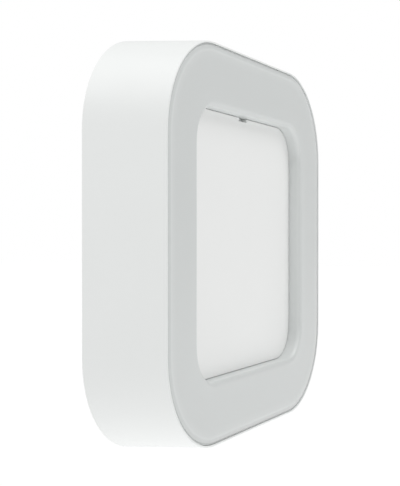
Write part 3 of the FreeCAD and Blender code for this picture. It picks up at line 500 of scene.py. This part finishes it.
dimple_tree, given = nodes_group("shield_dimples", ("Dimple Radius", "Float"), ("Dimple Height", "Float"))
bump = add(dimple_tree, "GeometryNodeMeshUVSphere",
           {"Segments": 14, "Rings": 8, "Radius": (given, "Dimple Radius")})
squat = add(dimple_tree, "ShaderNodeMath",
            {0: (given, "Dimple Height"), 1: (given, "Dimple Radius")}, operation="DIVIDE")
squash_to = add(dimple_tree, "ShaderNodeCombineXYZ", {0: 1.0, 1: (squat, 0), 2: 1.0})
pressed = add(dimple_tree, "GeometryNodeTransform", {"Geometry": (bump, 0), "Scale": (squash_to, 0)})
soft = add(dimple_tree, "GeometryNodeSetShadeSmooth", {"Geometry": (pressed, 0)})
spread = add(dimple_tree, "GeometryNodeInstanceOnPoints",
             {"Points": (given, "Geometry"), "Instance": (soft, 0)})
real = add(dimple_tree, "GeometryNodeRealizeInstances", {"Geometry": (spread, 0)})
tinplate = nodes["radio_shield"].data.materials[0]
tinned = add(dimple_tree, "GeometryNodeSetMaterial", {"Geometry": (real, 0), "Material": tinplate})
add(dimple_tree, "NodeGroupOutput", {"Geometry": (tinned, 0)})
low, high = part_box("radio_shield")
dimple_places = [(low.x + (high.x - low.x) * (i + 1) / 8, low.y, low.z + (high.z - low.z) * (j + 1) / 7)
                 for i in range(7) for j in range(6)]
grown("shield_dimples", dimple_places, dimple_tree, "light",
              **{"Dimple Radius": 0.0006, "Dimple Height": 0.00018})

# Passives: ceramic or resistive chips with tinned ends, reflowed on the board in loose rows.
ceramic = moulded("ceramic_chip_tan", "#8C6B4A", "#7A5B3D", 0.3, 0.003, 0.4)
chip_tree, given = nodes_group("chip_rows", ("Chip Length", "Float"), ("Chip Width", "Float"))
core_long = add(chip_tree, "ShaderNodeMath", {0: (given, "Chip Length"), 1: 0.56}, operation="MULTIPLY")
core_size = add(chip_tree, "ShaderNodeCombineXYZ",
                {0: (core_long, 0), 1: (given, "Chip Width"), 2: (given, "Chip Width")})
core = add(chip_tree, "GeometryNodeMeshCube", {"Size": (core_size, 0)})
end_long = add(chip_tree, "ShaderNodeMath", {0: (given, "Chip Length"), 1: 0.22}, operation="MULTIPLY")
end_tall = add(chip_tree, "ShaderNodeMath", {0: (given, "Chip Width"), 1: 1.06}, operation="MULTIPLY")
end_size = add(chip_tree, "ShaderNodeCombineXYZ", {0: (end_long, 0), 1: (end_tall, 0), 2: (end_tall, 0)})
end = add(chip_tree, "GeometryNodeMeshCube", {"Size": (end_size, 0)})
ends = []
for side in (0.39, -0.39):
    shift = add(chip_tree, "ShaderNodeMath", {0: (given, "Chip Length"), 1: side}, operation="MULTIPLY")
    put = add(chip_tree, "ShaderNodeCombineXYZ", {0: (shift, 0)})
    moved = add(chip_tree, "GeometryNodeTransform", {"Geometry": (end, 0), "Translation": (put, 0)})
    ends.append((moved, 0))
both_ends = add(chip_tree, "GeometryNodeJoinGeometry", {"Geometry": ends})
quarter_turns = add(chip_tree, "FunctionNodeRandomValue", {4: 0, 5: 1, "Seed": 3}, data_type="INT")
turn = add(chip_tree, "ShaderNodeMath", {0: (quarter_turns, 2), 1: math.pi / 2}, operation="MULTIPLY")
spin = add(chip_tree, "ShaderNodeCombineXYZ", {1: (turn, 0)})
branches = []
for part, finish in ((core, ceramic), (both_ends, solder)):
    spread = add(chip_tree, "GeometryNodeInstanceOnPoints",
                 {"Points": (given, "Geometry"), "Instance": (part, 0), "Rotation": (spin, 0)})
    real = add(chip_tree, "GeometryNodeRealizeInstances", {"Geometry": (spread, 0)})
    painted = add(chip_tree, "GeometryNodeSetMaterial", {"Geometry": (real, 0), "Material": finish})
    branches.append((painted, 0))
whole = add(chip_tree, "GeometryNodeJoinGeometry", {"Geometry": branches})
add(chip_tree, "NodeGroupOutput", {"Geometry": (whole, 0)})
low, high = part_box("radio_board")
chip_places = []
for x_mm, z_mm in [(1.5 + 2.8 * i, 41 - 2.6 * j) for i in range(3) for j in range(5)] + \
                  [(-30 + 2.8 * i, 24.5 + 2.6 * j) for i in range(6) for j in range(2) if i > 1]:
    chip_places.append((x_mm / 1000, low.y - 0.0003, z_mm / 1000))
grown("board_passives", chip_places, chip_tree, "light",
              **{"Chip Length": 0.0016, "Chip Width": 0.0006})

# ---------------------------------------------------------------- wires
# Single cores in PVC sleeving, cut to length and bent by hand: brown and blue from the terminals to
# the driver, red and black on to the lamp board, yellow and black to the radio board.


def sleeved_wire(name, colour, radius_mm, route):
    """One insulated wire on a smooth route of (x, distance from wall, z) in millimetres."""
    curve = bpy.data.curves.new(name + "_route", "CURVE")
    curve.dimensions = "3D"
    curve.bevel_depth = radius_mm / 1000
    curve.bevel_resolution = 5
    curve.resolution_u = 14
    curve.use_fill_caps = True
    spline = curve.splines.new("NURBS")
    spline.points.add(len(route) - 1)
    for point, (x, level, z) in zip(spline.points, route):
        point.co = (x / 1000, -level / 1000, z / 1000, 1.0)
    spline.order_u = 3
    spline.use_endpoint_u = True
    source = bpy.data.objects.new(name + "_route", curve)
    bpy.context.scene.collection.objects.link(source)
    bpy.context.view_layer.update()
    mesh = bpy.data.meshes.new_from_object(source.evaluated_get(bpy.context.evaluated_depsgraph_get()))
    bpy.data.objects.remove(source)
    mesh.materials.clear()
    # Extruded PVC: a smooth skin with a soft highlight along its length
    mesh.materials.append(moulded("pvc_sleeve_" + name, *colour, 1.2, 0.01, 0.33, cloud_mm=12.0))
    for face in mesh.polygons:
        face.use_smooth = True
    wire = bpy.data.objects.new(name, mesh)
    bpy.context.scene.collection.objects.link(wire)
    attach(wire, "light")
    return wire


brown, blue = ("#6B3F22", "#60371D"), ("#2A5FA8", "#24569B")
red, black, yellow = ("#B5322B", "#A82C26"), ("#262628", "#1F1F21"), ("#D9BE3A", "#CFB432")
supply = [
    sleeved_wire("supply_brown", brown, 1.1,
                 [(-26, 14, -9.8), (-26.3, 15, -13), (-26.6, 15, -17), (-27, 14, -20.2)]),
    sleeved_wire("supply_blue", blue, 1.1,
                 [(-14, 14, -9.8), (-14.3, 15, -13), (-14.6, 15, -17), (-15, 14, -20.2)]),
]
lamp_pair = [
    sleeved_wire("lamp_red", red, 0.9,
                 [(42.6, 13, -33), (50, 11, -30), (56, 8, -20),
                  (60, 7, -11.5), (68, 7, -11.5), (72, 7.4, -11.5)]),
    sleeved_wire("lamp_black", black, 0.9,
                 [(42.6, 13, -29.5), (48.5, 11, -27), (54, 8, -17),
                  (60, 7, -8.5), (68, 7, -8.5), (72, 7.4, -8.5)]),
]
radio_pair = [
    sleeved_wire("radio_yellow", yellow, 0.8,
                 [(-35, 13, -20.3), (-35.6, 12, -12), (-36, 12, 4),
                  (-32, 14.5, 14.5), (-16, 17, 16.5), (-5, 16, 20.8)]),
    sleeved_wire("radio_black", black, 0.8,
                 [(-32, 15.5, -20.3), (-34, 15.5, -12), (-34.6, 15.5, 3),
                  (-31, 17.2, 12), (-14, 19, 13.5), (-1.5, 16, 20.8)]),
]
for pair, node in ((supply, "supply_leads"), (lamp_pair, "lamp_leads"), (radio_pair, "radio_leads")):
    for wire in pair:
        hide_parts(node)

# ---------------------------------------------------------------- centre cover and its snaps
# The blind cover is moulded in the same blend as the housing, a shade warmer from another mould, and
# hides screws and wiring. Four tempered steel snaps under it catch behind the diffuser's flange.
# The blend's same satin white, with tempered steel that is darker and browner than the zinc screws.
dress(moulded("satin_abs_cover", "#F0F1F0", "#EDEEED", 0.9, 0.010, 0.45), "centre_cover")
dress(rolled("tempered_spring_steel", "#8E9194", "#75787B", 0.4, 0.34), "cover_snaps")
